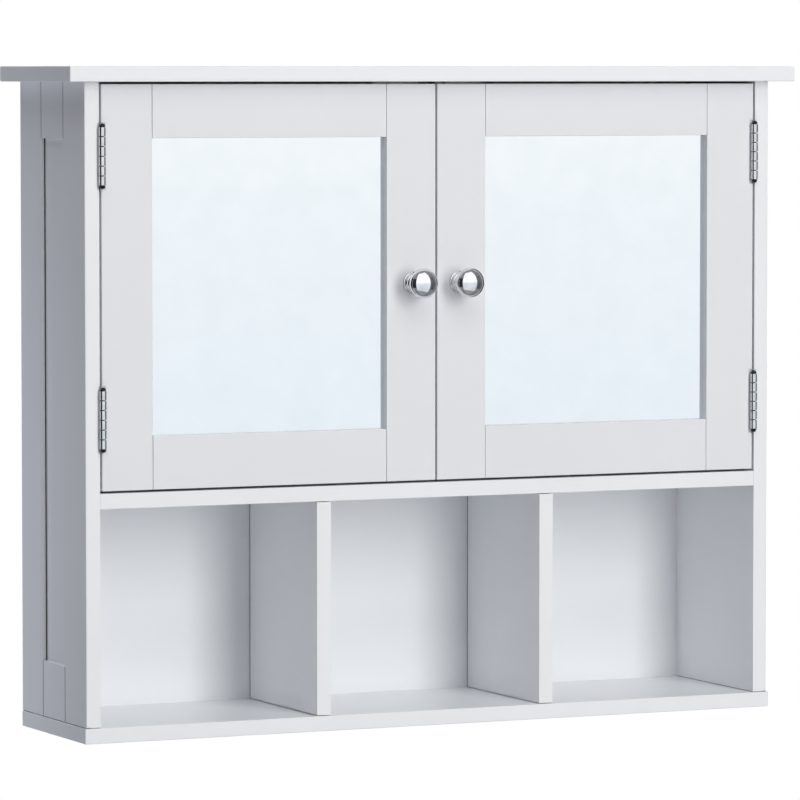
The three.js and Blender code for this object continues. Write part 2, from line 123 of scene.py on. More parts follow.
def surface(finish, tree, inputs):
    """Ends a material with its shader."""
    shader = put(tree, "BsdfPrincipled", inputs)
    put(tree, "OutputMaterial", {"Surface": shader.outputs["BSDF"]})
    return finish


def satin_lacquer(name, shade, light):
    """Sprayed satin lacquer: an even cool white with a faint orange peel, in which
    broad reflections go soft and cloudy."""
    finish, tree, place = new_finish(name)
    clouds = put(tree, "TexNoise", lumps(place, CLOUD_MM, 3.0)).outputs["Fac"]
    peel = put(tree, "TexNoise", lumps(place, PEEL_MM, 1.5)).outputs["Fac"]
    dust = put(tree, "TexNoise", lumps(place, DUST_MM, 0.0)).outputs["Fac"]
    colour = put(tree, "ValToRGB", {"Fac": clouds}, tones(shade, light))
    sheen = put(tree, "MapRange", spread(clouds, 0.29, 0.33))
    orange_peel = put(tree, "Bump", relief(peel, 0.05, 0.22))
    nibs = put(tree, "Bump", {**relief(dust, 0.01, 0.15), "Normal": orange_peel.outputs[0]})
    return surface(finish, tree, {
        "Base Color": colour.outputs["Color"],
        "Roughness": sheen.outputs["Result"],
        "IOR": 1.48,
        "Normal": nibs.outputs["Normal"],
    })


LACQUER = satin_lacquer("sprayed_satin_lacquer", LACQUER_SHADE, LACQUER_LIGHT)


def rest_piece(piece, body, slot, *stands_for):
    """Says what a finished piece rides on and the nodes it stands for. The slot is not used."""
    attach(piece, body)
    if stands_for:
        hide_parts(*stands_for)
    return piece


def eased_copy(node, finish, slot, body="carcass", easing=JOINT_EASING, rules=(), moves=()):
    """A merged copy of a CAD piece with its sharp edges rounded. Each edge gets the
    easing, in mm, or that of the last rule whose planes (axis, place) it all lies in.
    Moves shift the points that lie in a plane along its axis."""
    shape = bmesh.new()
    shape.from_mesh(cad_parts[node].data)
    bmesh.ops.remove_doubles(shape, verts=shape.verts, dist=0.002 * MM)
    flat = {"angle_limit": math.radians(1), "verts": shape.verts, "edges": shape.edges}
    bmesh.ops.dissolve_limit(shape, **flat)
    near = 0.02 * MM
    weight = shape.edges.layers.float.new("bevel_weight_edge")
    for edge in shape.edges:
        if len(edge.link_faces) != 2 or edge.calc_face_angle() < SHARP_ANGLE:
            continue
        width = easing
        for *planes, other in rules:
            if all(abs(v.co[a] - at * MM) < near for v in edge.verts for a, at in planes):
                width = other
        edge[weight] = width / WIDEST_EASING
        edge.smooth = width > 0
    for axis, place, by in moves:
        for v in shape.verts:
            if abs(v.co[axis] - place * MM) < near:
                v.co[axis] += by * MM
    mesh = bpy.data.meshes.new(node + "_eased")
    shape.to_mesh(mesh)
    shape.free()
    mesh.polygons.foreach_set("use_smooth", np.ones(len(mesh.polygons), bool))
    mesh.materials.append(finish)
    piece = bpy.data.objects.new(node + "_eased", mesh)
    bpy.context.scene.collection.objects.link(piece)
    rounding = piece.modifiers.new("rounded arrises", "BEVEL")
    rounding.width = WIDEST_EASING * MM
    rounding.segments = EASING_STEPS
    rounding.limit_method = "WEIGHT"
    rounding.use_clamp_overlap = True
    flats = piece.modifiers.new("flat faces", "WEIGHTED_NORMAL")
    flats.keep_sharp = True
    return rest_piece(piece, body, slot, node)


X, Y, Z = 0, 1, 2
eased_copy("top_panel", LACQUER, "white_paint", easing=TOP_EASING)
fine = [((Y, BACK_FRONT), JOINT_EASING), ((Z, FLOOR_TOP), JOINT_EASING)]
eased_copy("bottom_panel", LACQUER, "white_paint", easing=TOP_EASING, rules=fine)
eased_copy("fixed_shelf", LACQUER, "white_paint", easing=SHELF_EASING)

# ---- Cubby dividers ----
# Two short boards dowelled between the bottom and the fixed shelf, which share the
# width out into three open cubbies. They stand a hair off the back and the boards
# above and below, so that their joints show as fine dark lines; the gap behind each
# is also filled with a dark strip of painted shade.
SHELF_UNDERSIDE = -79.5
DIVIDER_EASING = 0.2
BACK_HAIR = 1.0
END_HAIR = 0.6

hairs = [(Y, BACK_FRONT, -BACK_HAIR), (Z, FLOOR_TOP, END_HAIR), (Z, SHELF_UNDERSIDE, -END_HAIR)]
for node in ("divider_left", "divider_right"):
    eased_copy(node, LACQUER, "white_paint", easing=DIVIDER_EASING, moves=hairs)

# ---- Sides ----
# A plain board inside with four thin strips glued on outside, so that the outer
# face looks like a frame and panel. The glue line at the front is sanded flush
# and painted over; the butt joints between strips stay as fine grooves.
SIDES = (("left", -1), ("right", 1))
SIDE_ARRIS = 0.8
GLUE_PLANE = 294.0
FRONT_FACE = -135.0
RAIL_FRONT = -91.0
RAIL_REAR = -44.0
RECESS_HALF = 204.0
STRIP_JOINT = 0.8
FOOT_JOINT = 0.4

for word, side in SIDES:
    glued = ((X, side * GLUE_PLANE), 0.0)
    foot = [(Z, FLOOR_TOP, FOOT_JOINT)]
    eased_copy(f"side_{word}_board", LACQUER, "white_paint", rules=[glued], moves=foot)
    for strip in ("front_stile", "rear_stile", "top_rail", "bottom_rail"):
        rules = [glued]
        moves = foot
        if strip == "front_stile":
            rules = [((Y, FRONT_FACE), SIDE_ARRIS), glued]
        if strip == "bottom_rail":
            rules = [((Z, -RECESS_HALF), SIDE_ARRIS), glued]
        if strip.endswith("rail"):
            moves = [*foot, (Y, RAIL_FRONT, STRIP_JOINT), (Y, RAIL_REAR, -STRIP_JOINT)]
        node = f"side_{word}_{strip}"
        eased_copy(node, LACQUER, "white_paint", rules=rules, moves=moves)

# ---- Shadow gaps and open joints ----
# Dark strips of painted shade stand in for the shadow lines: in the corner where
# the rear strip meets the recess, over the joints of the strips, along the foot and
# behind the dividers, where the gaps between parts fall into shade.
GAP_WIDTH = 0.9
GAP_DEPTH = 0.3
SHADOW_STRIP_SINK = 0.06
SHADOW_STRIP_ARRIS = 0.03
CORNER_ARRIS = 0.05
GLUE_HAIR = 0.2
FOOT_SPAN = (-134.7, -0.4)
EDGE_INSET = SHADOW_STRIP_SINK + 0.02
BACK_GRIP = 0.05
OUTER_FACE = 297.5
BOARD_INSIDE = 286.2
JOINT_SPANS = ((-247.4, -204.4), (204.4, 247.8))
WOOL_MM = 0.8
SHADOW_FILL_DARK = "#3B3936"
SHADOW_FILL_LIGHT = "#55524D"


def painted_shadow_fill():
    """Painted shade for the shadow lines in corners and joints: dull, dark and a little woolly."""
    finish, tree, place = new_finish("painted_shadow_line_finish")
    fibres = {**lumps(place, WOOL_MM, 4.0), "Distortion": 1.5}
    wool = put(tree, "TexNoise", fibres).outputs["Fac"]
    colour = put(tree, "ValToRGB", {"Fac": wool}, tones(SHADOW_FILL_DARK, SHADOW_FILL_LIGHT))
    return surface(finish, tree, {
        "Base Color": colour.outputs["Color"],
        "Roughness": put(tree, "MapRange", spread(wool, 0.75, 0.9)).outputs["Result"],
        "Normal": put(tree, "Bump", relief(wool, 0.05, 0.4)).outputs["Normal"],
    })


def grid_faces(rows, columns, round_rows=False, first=0):
    """Quads of a grid of points whose columns run round, and its rows too if asked."""
    down = np.arange(rows if round_rows else rows - 1)[:, None]
    along = np.arange(columns)[None, :]
    corners = (
        (down, along),
        (down, (along + 1) % columns),
        ((down + 1) % rows, (along + 1) % columns),
        ((down + 1) % rows, along),
    )
    return np.stack([first + r * columns + c for r, c in corners], -1).reshape(-1, 4)


def new_piece(name, shells, finish, body, slot, *stands_for, flat=True):
    """Puts closed shells of (points in mm, faces) into one mesh. Points that meet
    at a pole or a seam are merged and the faces turned outwards."""
    points, faces, start = [], [], 0
    for shell_points, shell_faces in shells:
        points.append(shell_points)
        faces.extend((np.asarray(shell_faces) + start).tolist())
        start += len(shell_points)
    mesh = bpy.data.meshes.new(name)
    mesh.from_pydata((np.concatenate(points) * MM).tolist(), [], faces)
    shape = bmesh.new()
    shape.from_mesh(mesh)
    bmesh.ops.remove_doubles(shape, verts=shape.verts, dist=0.001 * MM)
    bmesh.ops.recalc_face_normals(shape, faces=shape.faces)
    shape.to_mesh(mesh)
    shape.free()
    mesh.polygons.foreach_set("use_smooth", np.ones(len(mesh.polygons), bool))
    mesh.set_sharp_from_angle(angle=SHARP_ANGLE)
    mesh.materials.append(finish)
    piece = bpy.data.objects.new(name, mesh)
    bpy.context.scene.collection.objects.link(piece)
    if flat:
        flats = piece.modifiers.new("flat faces", "WEIGHTED_NORMAL")
        flats.keep_sharp = True
    return rest_piece(piece, body, slot, *stands_for)


def eased_block(low, high, ease, steps=4):
    """Block with rounded edges, in mm. A direction runs over the eight octants; the
    point is the octant's corner, pulled in by the ease, plus ease * direction.
    The rows run from pole to pole, and a flat face closes each pole."""
    low, high = np.minimum(low, high), np.maximum(low, high)
    middle, half = (high + low) / 2, (high - low) / 2
    quarter = np.linspace(0, np.pi / 2, steps + 1)
    turn = np.concatenate([quarter + i * np.pi / 2 for i in range(4)])
    tilt = np.concatenate([quarter - np.pi / 2, quarter])
    quadrant = np.repeat(np.arange(4), steps + 1) * np.pi / 2 + np.pi / 4
    upper = np.repeat([-1.0, 1.0], steps + 1)
    shape = (len(tilt), len(turn))
    corner = np.stack([
        np.broadcast_to(np.sign(np.cos(quadrant))[None], shape),
        np.broadcast_to(np.sign(np.sin(quadrant))[None], shape),
        np.broadcast_to(upper[:, None], shape),
    ], -1)
    direction = np.stack([
        np.cos(tilt)[:, None] * np.cos(turn)[None],
        np.cos(tilt)[:, None] * np.sin(turn)[None],
        np.broadcast_to(np.sin(tilt)[:, None], shape),
    ], -1)
    points = middle + corner * (half - ease) + direction * ease
    last = (len(tilt) - 1) * len(turn)
    caps = np.arange(4) * (steps + 1)
    faces = np.concatenate([grid_faces(*shape), [caps[::-1]], [caps + last]])
    return points.reshape(-1, 3), faces


SHADOW_FILL_FINISH = painted_shadow_fill()

for word, side in SIDES:
    # Painted shade: a dark strip in the corner where the rear strip meets the recess, for the
    # shadow line there.
    low = (side * GLUE_PLANE, RAIL_REAR - GAP_DEPTH, -RECESS_HALF)
    high = (side * (GLUE_PLANE + GAP_WIDTH), RAIL_REAR, RECESS_HALF)
    gap = [eased_block(low, high, CORNER_ARRIS, 1)]
    new_piece(f"side_{word}_painted_shadow_corner", gap, SHADOW_FILL_FINISH, "carcass", "bare_board")
    # Painted shade: dark strips sunk just below the face in the grooves of the strip joints and
    # along the foot, for the shadow in them.
    root, face = side * (GLUE_PLANE + GLUE_HAIR), side * (OUTER_FACE - SHADOW_STRIP_SINK)
    joint_shadow_strips = [
        eased_block((root, y, low), (face, y + STRIP_JOINT, high), SHADOW_STRIP_ARRIS, 1)
        for low, high in JOINT_SPANS
        for y in (RAIL_FRONT, RAIL_REAR - STRIP_JOINT)
    ]
    low = (side * BOARD_INSIDE, FOOT_SPAN[0], FLOOR_TOP)
    high = (face, FOOT_SPAN[1], FLOOR_TOP + FOOT_JOINT)
    joint_shadow_strips.append(eased_block(low, high, SHADOW_STRIP_ARRIS, 1))
    new_piece(f"side_{word}_painted_joint_shadows", joint_shadow_strips, SHADOW_FILL_FINISH, "carcass", "bare_board")

# Painted shade: a dark strip fills the gap behind each divider, for the shadow line there.
for word, _ in SIDES:
    node = f"divider_{word}"
    (left, _, foot), (right, _, head) = (np.array(c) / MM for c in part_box(node))
    low = (left + EDGE_INSET, BACK_FRONT - BACK_HAIR, foot + END_HAIR)
    high = (right - EDGE_INSET, BACK_FRONT - BACK_GRIP, head - END_HAIR)
    rear = [eased_block(low, high, SHADOW_STRIP_ARRIS, 1)]
    new_piece(f"{node}_painted_shadow_edge", rear, SHADOW_FILL_FINISH, "carcass", "bare_board")

# ---- Back panel, hanging rail and keyhole plates ----
# The back is 3 mm hardboard painted white, nailed into a rebate. Behind its top
# edge runs a rail that takes the load; two zinc-plated keyhole plates are let in
# and screwed to it, and hang on two screws in the wall.
BACK_SET_IN = 0.25
NAIL_RADIUS = 1.7
NAIL_CROWN = 0.22
NAIL_ROUND = 20
ZINC_LIGHT = "#C9CCCE"
ZINC_SHADE = "#A9ADB2"
SPANGLE_MM = 2.5
GRAIN_MM = 0.4
PLATE_EASING = 0.2
PLATE_SCREW = (2.6, 0.2, 0.6)
PLATE_SCREW_OFFSET = 14.5
HANGER_X = 200.0
HANGER_Z = 225.5
PANEL_ARRIS = 0.15
NAIL_SHANK = 0.8
SIDE_NAILS = 288.5, np.linspace(-232, 232, 6)
BOARD_NAILS = np.linspace(-240, 240, 6), (-254.0, -73.5)
TOP_NAILS = (-270.0, -110.0, 0.0, 110.0, 270.0), 240.0


def zinc_plate():
    """Zinc-plated steel: a soft grey metal with faint cloudy spangles and a drawn
    grain, so that highlights spread and break up."""
    finish, tree, place = new_finish("zinc_plated_steel")
    spangle = put(tree, "TexVoronoi", {"Vector": place, "Scale": 1 / (SPANGLE_MM * MM)})
    mixed = lumps(spangle.outputs["Color"], 1000, 1.0)
    cells = put(tree, "TexNoise", mixed).outputs["Fac"]
    grain = put(tree, "TexNoise", lumps(place, GRAIN_MM, 2.0)).outputs["Fac"]
    colour = put(tree, "ValToRGB", {"Fac": cells}, tones(ZINC_SHADE, ZINC_LIGHT))
    return surface(finish, tree, {
        "Base Color": colour.outputs["Color"],
        "Metallic": 1.0,
        "Roughness": put(tree, "MapRange", spread(grain, 0.3, 0.42)).outputs["Result"],
        "Normal": put(tree, "Bump", relief(grain, 0.02, 0.2)).outputs["Normal"],
    })


ZINC = zinc_plate()


def across(axis):
    """Two directions at right angles to an axis and to each other."""
    axis = np.asarray(axis, float)
    side = np.cross(axis, [0.0, 0.0, 1.0] if abs(axis[2]) < 0.9 else [1.0, 0.0, 0.0])
    side = side / np.linalg.norm(side)
    return side, np.cross(axis, side)


def turned(profile, foot, axis, around=48, ring=False, lift=None):
    """Surface of revolution, in mm: a profile of (radius, height) goes once round an
    axis. The point at angle a is foot + height * axis + radius * (cos a, sin a)
    across the axis. Lift adds to the heights as a function of radius and angle."""
    radius, height = np.asarray(profile, float).T
    angle = np.linspace(0, 2 * np.pi, around, endpoint=False)
    radii, angles = np.meshgrid(radius, angle, indexing="ij")
    heights = np.repeat(height[:, None], around, 1)
    if lift is not None:
        heights = heights + lift(radii, angles)
    first, second = across(axis)
    points = (
        np.asarray(foot, float)
        + heights[..., None] * np.asarray(axis, float)
        + (radii * np.cos(angles))[..., None] * first
        + (radii * np.sin(angles))[..., None] * second
    )
    return points.reshape(-1, 3), grid_faces(len(radius), around, ring)


def screw_head(foot, axis, radius, crown, seat):
    """Cross-recessed screw head, in mm: a low dome, crown * (1 - (r/R)^2) high, less
    a smooth recess where a point lies within two arms at right angles; its rim
    goes down by seat and closes underneath."""
    steps = np.linspace(0, 1, 15)
    dome = [(radius * t, crown * (1 - t * t)) for t in steps]
    profile = [*dome, (radius, -seat), (0.0, -seat)]

    def recess(radii, angles):
        turn = np.abs((angles + np.pi / 4) % (np.pi / 2) - np.pi / 4)
        aside = radii * np.sin(turn)
        out = radii * np.cos(turn)
        inside = np.clip((0.16 * radius - aside) / (0.06 * radius) + 0.5, 0, 1)
        inside = inside * np.clip((0.62 * radius - out) / (0.1 * radius) + 0.5, 0, 1)
        on_dome = np.arange(len(profile))[:, None] < len(dome)
        return -0.3 * radius * inside * on_dome

    return turned(profile, foot, axis, 64, lift=recess)


set_in = [(Y, 0.0, -BACK_SET_IN)]
eased_copy("back_panel", LACQUER, "white_paint", easing=PANEL_ARRIS, moves=set_in)
eased_copy("hanging_rail", LACQUER, "white_paint")

nail_profile = [(NAIL_RADIUS * t, NAIL_CROWN * (1 - t * t)) for t in np.linspace(0, 1, 6)]
nail_profile += [(NAIL_RADIUS, -NAIL_SHANK), (0.0, -NAIL_SHANK)]
nail_places = [(side * SIDE_NAILS[0], z) for side in (-1, 1) for z in SIDE_NAILS[1]]
nail_places += [(x, z) for x in BOARD_NAILS[0] for z in BOARD_NAILS[1]]
nail_places += [(x, TOP_NAILS[1]) for x in TOP_NAILS[0]]
nails = [
    turned(nail_profile, (x, -BACK_SET_IN, z), (0, 1, 0), NAIL_ROUND) for x, z in nail_places
]
new_piece("back_panel_nails", nails, ZINC, "carcass", "zinc_steel")

for word, side in SIDES:
    node = f"hanger_plate_{word}"
    eased_copy(node, ZINC, "zinc_steel", easing=PLATE_EASING, moves=set_in)
    heads = [
        screw_head((side * HANGER_X, -BACK_SET_IN, z), (0, 1, 0), *PLATE_SCREW)
        for z in (HANGER_Z - PLATE_SCREW_OFFSET, HANGER_Z + PLATE_SCREW_OFFSET)
    ]
    new_piece(f"{node}_screws", heads, ZINC, "carcass", "zinc_steel")

# ---- Loose shelf and its pins ----
# A board that rests on four steel pins, each a plug in a drilled hole with a
# collar against the side and a short spigot under the shelf.
PIN_EASE = 0.5
PIN_ROWS = (("front", -105.0), ("rear", -30.0))
PIN_END = 293.5
PIN_LEVEL = 81.45
PIN_CORNERS = (
    (0, 0), (2.5, 0), (2.5, 8), (4, 8), (4, 9.5), (2.5, 9.5), (2.5, 17.5), (0, 17.5),
)
eased_copy("loose_shelf", LACQUER, "white_paint", easing=SHELF_EASING)


def eased_profile(corners, ease, steps=4):
    """A profile through (radius, height) corners, each cut back by the ease and
    rounded on a parabola: both tangents meet at the corner."""
    corners = np.asarray(corners, float)
    out = [corners[0]]
    for before, corner, after in zip(corners, corners[1:], corners[2:]):
        legs = [before - corner, after - corner]
        cut = [min(ease, 0.45 * np.linalg.norm(leg)) for leg in legs]
        start, end = (
            corner + leg / np.linalg.norm(leg) * by for leg, by in zip(legs, cut)
        )
        t = np.linspace(0, 1, steps + 1)[:, None]
        out.extend((1 - t) ** 2 * start + 2 * t * (1 - t) * corner + t * t * end)
    out.append(corners[-1])
    return np.array(out)


for word, side in SIDES:
    for row, y in PIN_ROWS:
        pin = eased_profile(PIN_CORNERS, PIN_EASE)
        shell = turned(pin, (side * PIN_END, y, PIN_LEVEL), (-side, 0, 0), 32)
        node = f"shelf_pin_{word}_{row}"
        new_piece(f"{node}_turned", [shell], ZINC, "carcass", "zinc_steel", node)

# ---- Magnetic catches ----
# A moulded white housing under the top board, with an ear at each end for its
# screws and a magnet between two steel cheeks that face the door.
CATCH_SPAN = (6.9, 46.9)
CATCH_HALF = 12.0
CATCH_DEPTH = (-118.2, -104.7)
CATCH_FOOT = 236.0
CATCH_EASE = 0.8
CEILING = 248.0
EAR_HEIGHT = 3.0
EAR_DEPTH = (-116.5, -106.5)
EAR_SCREW_INSET = 4.0
EAR_SCREW = (2.4, 0.9, 0.4)
CHEEK = 1.2
CHEEK_EASE = 0.2
CHEEK_HALF = 9.5
CHEEK_DEPTH = (-118.7, -112.0)
CHEEK_LEVELS = (239.2, 243.8)
FLOW_MM = 12
SPARK_MM = 0.25
PLASTIC_LIGHT = "#F1F1EF"
PLASTIC_SHADE = "#E9E9E6"


def moulded_plastic():
    """Injection-moulded plastic: a slightly warm, translucent white with the fine
    spark-eroded grain of its mould."""
    finish, tree, place = new_finish("moulded_white_plastic")
    flow = put(tree, "TexNoise", lumps(place, FLOW_MM, 2.0)).outputs["Fac"]
    grain = put(tree, "TexNoise", lumps(place, SPARK_MM, 1.0)).outputs["Fac"]
    colour = put(tree, "ValToRGB", {"Fac": flow}, tones(PLASTIC_SHADE, PLASTIC_LIGHT))
    return surface(finish, tree, {
        "Base Color": colour.outputs["Color"],
        "Roughness": put(tree, "MapRange", spread(grain, 0.42, 0.55)).outputs["Result"],
        "IOR": 1.46,
        "Normal": put(tree, "Bump", relief(grain, 0.02, 0.25)).outputs["Normal"],
    })


PLASTIC = moulded_plastic()

for word, side in SIDES:
    near, far = (side * x for x in CATCH_SPAN)
    middle = (near + far) / 2
    (box_front, box_back), (ear_front, ear_back) = CATCH_DEPTH, EAR_DEPTH
    low, high = middle - CATCH_HALF, middle + CATCH_HALF
    housing = [
        eased_block((low, box_front, CATCH_FOOT), (high, box_back, CEILING), CATCH_EASE),
        eased_block((near, ear_front, CEILING - EAR_HEIGHT), (far, ear_back, CEILING), CATCH_EASE),
    ]
    node = f"catch_{word}"
    new_piece(f"{node}_housing", housing, PLASTIC, "carcass", "white_plastic", node)
    steel = []
    for z in CHEEK_LEVELS:
        low = (middle - CHEEK_HALF, CHEEK_DEPTH[0], z - CHEEK / 2)
        high = (middle + CHEEK_HALF, CHEEK_DEPTH[1], z + CHEEK / 2)
        steel.append(eased_block(low, high, CHEEK_EASE))
    for x in (near + side * EAR_SCREW_INSET, far - side * EAR_SCREW_INSET):
        foot = (x, sum(EAR_DEPTH) / 2, CEILING - EAR_HEIGHT)
        steel.append(screw_head(foot, (0, 0, -1), *EAR_SCREW))
    new_piece(f"{node}_steel", steel, ZINC, "carcass", "zinc_steel")

# ---- Hinges ----
# Small butt hinges of polished plated steel. Six knuckles rolled from the two
# leaves turn on a pin with a domed tip above and below; the leaves are screwed
# into the side and into the edge of the door.
KNUCKLE_PITCH = 7.5
KNUCKLE_GAP = 0.6
BARREL = 2.75
PIN_BORE = 1.35
KNUCKLE_EASE = 0.3
HINGE_X = 283.8
HINGE_Y = -137.5
HINGE_HALF = 22.5
LEAF_FRONT = -134.1
LEAF_BACK = -123.1
HINGE_LEVELS = (("upper", 191.2), ("lower", -10.7))
LEAF_EASE = 0.25
LEAF_SCREW_OFFSET = 11.25
LEAF_SCREW = (2.4, 0.15, 0.5)
NECK_INSIDE = 1.6
NECK_EASE = 0.2
TIP_RADIUS = 2.3
TIP_HEIGHT = 2.6
LEAF_SPANS = {"frame": (284.1, 285.5), "door": (282.3, 283.7)}
POLISH_MM = 6
FILM_MM = 0.8
PIN_DARK_GREYS = ("#2C2D30", "#3E4043")
NICKEL = ("#CDCFD3", "#DEE0E3")


def polished_plate(name, greys, low, high):
    """Bright plated metal: near mirror, with a slight unevenness left by polishing
    that makes the edges of a reflection waver."""
    finish, tree, place = new_finish(name)
    polish = put(tree, "TexNoise", lumps(place, POLISH_MM, 3.0)).outputs["Fac"]
    film = put(tree, "TexNoise", lumps(place, FILM_MM, 2.0)).outputs["Fac"]
    colour = put(tree, "ValToRGB", {"Fac": polish}, tones(*greys))
    return surface(finish, tree, {
        "Base Color": colour.outputs["Color"],
        "Metallic": 1.0,
        "Roughness": put(tree, "MapRange", spread(film, low, high)).outputs["Result"],
        "Normal": put(tree, "Bump", relief(polish, 0.02, 0.05)).outputs["Normal"],
    })


HINGE_STEEL = polished_plate("polished_nickel_plate", NICKEL, 0.04, 0.07)
# The pin is coloured a dark grey, so that its domed tips show dark.
PIN_STEEL = polished_plate("dark_grey_pin_steel", PIN_DARK_GREYS, 0.3, 0.38)


def hinge_leaf(side, level, kind):
    """Shells of one leaf: an eased plate, and on every second knuckle place a tube
    turned about the pin and the neck that rolls into it."""
    low, high = LEAF_SPANS[kind]
    base = level - HINGE_HALF
    foot, head = (side * low, LEAF_FRONT, base), (side * high, LEAF_BACK, level + HINGE_HALF)
    shells = [eased_block(foot, head, LEAF_EASE)]
    for place in range(0 if kind == "frame" else 1, 6, 2):
        foot = base + place * KNUCKLE_PITCH + KNUCKLE_GAP / 2
        length = KNUCKLE_PITCH - KNUCKLE_GAP
        e = KNUCKLE_EASE
        tube = [
            (PIN_BORE, 0), (BARREL - e, 0), (BARREL - 0.3 * e, 0.3 * e), (BARREL, e),
            (BARREL, length - e), (BARREL - 0.3 * e, length - 0.3 * e),
            (BARREL - e, length), (PIN_BORE, length),
        ]
        shells.append(turned(tube, (side * HINGE_X, HINGE_Y, foot), (0, 0, 1), 48, ring=True))
        inner = (side * low, HINGE_Y + NECK_INSIDE, foot)
        outer = (side * high, LEAF_FRONT + 1, foot + length)
        shells.append(eased_block(inner, outer, NECK_EASE))
    face = low if kind == "frame" else high
    for z in (level - LEAF_SCREW_OFFSET, level + LEAF_SCREW_OFFSET):
        foot = (side * face, (LEAF_FRONT + LEAF_BACK) / 2, z)
        axis = (-side, 0, 0) if kind == "frame" else (side, 0, 0)
        shells.append(screw_head(foot, axis, *LEAF_SCREW))
    return shells


tip_angle = np.linspace(0, np.pi / 2, 7)
tip_height = HINGE_HALF + TIP_HEIGHT * np.sin(tip_angle)
tip = np.stack([TIP_RADIUS * np.cos(tip_angle), tip_height], -1)
tip[-1, 0] = 0
upper_half = np.concatenate([[(1.3, 0), (1.3, HINGE_HALF), (2.1, HINGE_HALF)], tip])
pin_profile = np.concatenate([upper_half[::-1] * (1, -1), upper_half[1:]])

for word, side in SIDES:
    for name, level in HINGE_LEVELS:
        node = f"hinge_{word}_{name}"
        for kind, body in (("frame", "carcass"), ("door", f"door_{word}")):
            leaf = f"{node}_{kind}_leaf"
            shells = hinge_leaf(side, level, kind)
            new_piece(f"{leaf}_rolled", shells, HINGE_STEEL, body, "chrome", leaf)
        pin = turned(pin_profile, (side * HINGE_X, HINGE_Y, level), (0, 0, 1), 40)
        new_piece(f"{node}_pin_domed", [pin], PIN_STEEL, "carcass", "chrome", f"{node}_pin")

# ---- Doors ----
# Each door is a frame of two stiles and two rails, 15 mm thick, with stub tenons
# at the corners. The butt joints show as fine dark lines in the lacquer, which is
# a shade greyer than the carcass's, so the doors come out a little darker.
DOOR_ARRIS = 0.5
DOOR_JOINT = 0.22
DOOR_SHADE = "#ECEEF2"
DOOR_LIGHT = "#EEF0F4"
OPENING = (42.9, 241.7)
RAIL_SLIT = 0.4
DOOR_LACQUER = satin_lacquer("door_satin_lacquer", DOOR_SHADE, DOOR_LIGHT)

for word, side in SIDES:
    body = f"door_{word}"
    for part in ("hinge_stile", "meeting_stile"):
        eased_copy(f"{body}_{part}", DOOR_LACQUER, "white_paint", body, DOOR_ARRIS)
    for part in ("top_rail", "bottom_rail"):
        inward = (side * RAIL_SLIT, -side * RAIL_SLIT)
        rules = [((X, side * x), DOOR_JOINT) for x in OPENING]
        moves = [(X, side * x, by) for x, by in zip(OPENING, inward)]
        node = f"{body}_{part}"
        eased_copy(node, DOOR_LACQUER, "white_paint", body, DOOR_ARRIS, rules, moves)

# ---- Mirrors and backing boards ----
# A 3 mm silvered glass lies in the rebate of each door behind the lip. A plain brown
# hardboard behind it keeps the silvering from scratches, held by twelve glazing points.
GLASS_EASE = 0.25
POINT_HALF = 2.4
POINT_EASE = 0.2
STILE_POINTS = (37.4, 247.2), (15.0, 90.25, 165.0)
RAIL_POINTS = (90.0, 142.3, 195.0), (-29.7, 210.2)
POINT_DEPTH = (-122.9, -122.2)
RIPPLE_MM = 70
SILVER_MM = 25
FELT_MM = 1.2
BARK_MM = 0.5
GLASS_TINT = "#F2F6F8"
GLASS_SHADE = "#EEF3F5"
FIBRE_LIGHT = "#B08D63"
FIBRE_DARK = "#8C6B48"


def silvered_glass():
    """Float glass silvered on its back: an almost perfect mirror with the faintest
    cool cast and a very slow ripple from the float bath."""
    finish, tree, place = new_finish("silvered_float_glass")
    ripple = put(tree, "TexNoise", lumps(place, RIPPLE_MM, 1.0)).outputs["Fac"]
    film = put(tree, "TexNoise", lumps(place, SILVER_MM, 3.0)).outputs["Fac"]
    colour = put(tree, "ValToRGB", {"Fac": film}, tones(GLASS_SHADE, GLASS_TINT))
    return surface(finish, tree, {
        "Base Color": colour.outputs["Color"],
        "Metallic": 1.0,
        "Roughness": put(tree, "MapRange", spread(film, 0.004, 0.012)).outputs["Result"],
        "Normal": put(tree, "Bump", relief(ripple, 0.03, 0.1)).outputs["Normal"],
    })


def pressed_hardboard():
    """Pressed wood fibre: warm brown and matt, with fibres lying every way and
    darker specks of bark."""
    finish, tree, place = new_finish("pressed_hardboard")
    fibres = {**lumps(place, FELT_MM, 6.0), "Distortion": 2.5}
    felt = put(tree, "TexNoise", fibres).outputs["Fac"]
    specks = put(tree, "TexNoise", lumps(place, BARK_MM, 2.0)).outputs["Fac"]
    mottle = put(tree, "Math", {0: felt, 1: specks}, operation="MULTIPLY").outputs[0]
    doubled = put(tree, "Math", {0: mottle, 1: 2.0}, operation="MULTIPLY").outputs[0]
    colour = put(tree, "ValToRGB", {"Fac": doubled}, tones(FIBRE_DARK, FIBRE_LIGHT))
    return surface(finish, tree, {
        "Base Color": colour.outputs["Color"],
        "Roughness": put(tree, "MapRange", spread(felt, 0.62, 0.8)).outputs["Result"],
        "Normal": put(tree, "Bump", relief(felt, 0.08, 0.4)).outputs["Normal"],
    })


SILVERED_GLASS = silvered_glass()
HARDBOARD = pressed_hardboard()
spots = [(x, z) for x in STILE_POINTS[0] for z in STILE_POINTS[1]]
spots += [(x, z) for x in RAIL_POINTS[0] for z in RAIL_POINTS[1]]

